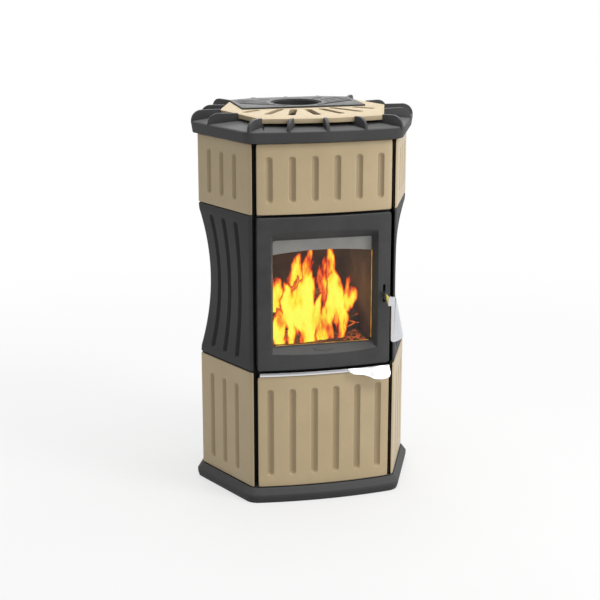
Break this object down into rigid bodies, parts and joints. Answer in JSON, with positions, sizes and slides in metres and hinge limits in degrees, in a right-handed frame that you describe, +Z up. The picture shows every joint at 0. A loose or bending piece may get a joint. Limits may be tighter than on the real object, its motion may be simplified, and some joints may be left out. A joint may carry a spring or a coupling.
{
  "type": "tiled stove",
  "caption": "Free-standing wood stove in a shell of grooved glazed tiles and cast iron, with a glazed fire door, a lower door, an ash pan and a top flue.",
  "frame": {"origin": "on the floor, under the middle of the stove: the plane of its widest corners and its mirror plane", "axes": "+X to the right as seen from the front, the front faces -Y, +Z up"},
  "size_m": [0.5802, 0.5013, 0.974],
  "materials": {
    "tile_glaze": "satin beige glaze",
    "plate_glaze": "satin cream glaze",
    "cast_iron": "matt graphite paint on cast iron",
    "black_steel": "matt black heat-proof paint",
    "chrome": "polished",
    "grey_steel": "brushed grey",
    "door_glass": "clear heat-proof glass",
    "firebrick": "rough sooty firebrick",
    "rope": "braided glass-fibre rope"
  },
  "bodies": {
    "root": {"base_plinth": "cast_iron", "lower_tile_left": "tile_glaze", "lower_tile_right": "tile_glaze", "side_casting_left": "cast_iron", "side_casting_right": "cast_iron", "upper_tile_left": "tile_glaze", "upper_tile_right": "tile_glaze", "upper_tile_front": "tile_glaze", "front_frame": "black_steel", "back_panel": "black_steel", "top_casting": "cast_iron", "top_plate": "plate_glaze", "top_grille": "cast_iron", "flue_collar": "black_steel", "lower_cabinet": "black_steel", "firebox_shell": "black_steel", "firebox_lid": "black_steel", "firebox_floor": "firebrick", "firebox_grate": "cast_iron", "brick_left": "firebrick", "brick_right": "firebrick", "brick_back": "firebrick", "baffle_plate": "firebrick", "log_guard": "cast_iron", "latch_keeper": "black_steel", "hinge_pin_upper": "black_steel", "hinge_bracket_middle": "black_steel", "hinge_bracket_lower": "black_steel", "door_catch": "black_steel", "air_guide_lower": "black_steel", "air_guide_upper": "black_steel"},
    "fire_door": {"fire_door_frame": "cast_iron", "door_glass": "door_glass", "door_seal": "rope", "glass_retainer_top": "grey_steel", "glass_retainer_bottom": "black_steel", "glass_retainer_left": "black_steel", "glass_retainer_right": "black_steel", "handle_pin": "black_steel"},
    "door_handle": {"door_lever": "chrome", "handle_leaf": "chrome"},
    "lower_door": {"lower_door_panel": "black_steel", "lower_door_tile": "tile_glaze", "lower_door_trim": "chrome"},
    "ash_pan": {"ash_pan": "grey_steel"},
    "primary_air": {"primary_air_slide": "black_steel"},
    "secondary_air": {"secondary_air_slide": "black_steel"}
  },
  "joints": [
    {"name": "fire_door_hinge", "type": "hinge", "parent": "root", "child": "fire_door", "pos_m": [-0.1603, -0.202, 0.54], "axis": [0, 0, -1], "range_deg": [0, 100]},
    {"name": "door_handle_pivot", "type": "hinge", "parent": "fire_door", "child": "door_handle", "pos_m": [0.1535, -0.202, 0.5271], "axis": [-1, 0, 0], "range_deg": [0, 32]},
    {"name": "lower_door_hinge", "type": "hinge", "parent": "root", "child": "lower_door", "pos_m": [-0.1603, -0.202, 0.19], "axis": [0, 0, -1], "range_deg": [0, 88]},
    {"name": "ash_pan_slide", "type": "slide", "parent": "root", "child": "ash_pan", "axis": [0, -1, 0], "range_m": [0, 0.18]},
    {"name": "primary_air_slide_travel", "type": "slide", "parent": "root", "child": "primary_air", "axis": [1, 0, 0], "range_m": [0, 0.04]},
    {"name": "secondary_air_slide_travel", "type": "slide", "parent": "root", "child": "secondary_air", "axis": [1, 0, 0], "range_m": [0, 0.04]}
  ],
  "couplings": [
    {"joint": "ash_pan_slide", "follows": "lower_door_hinge", "m_per_rad": 0.117}
  ]
}
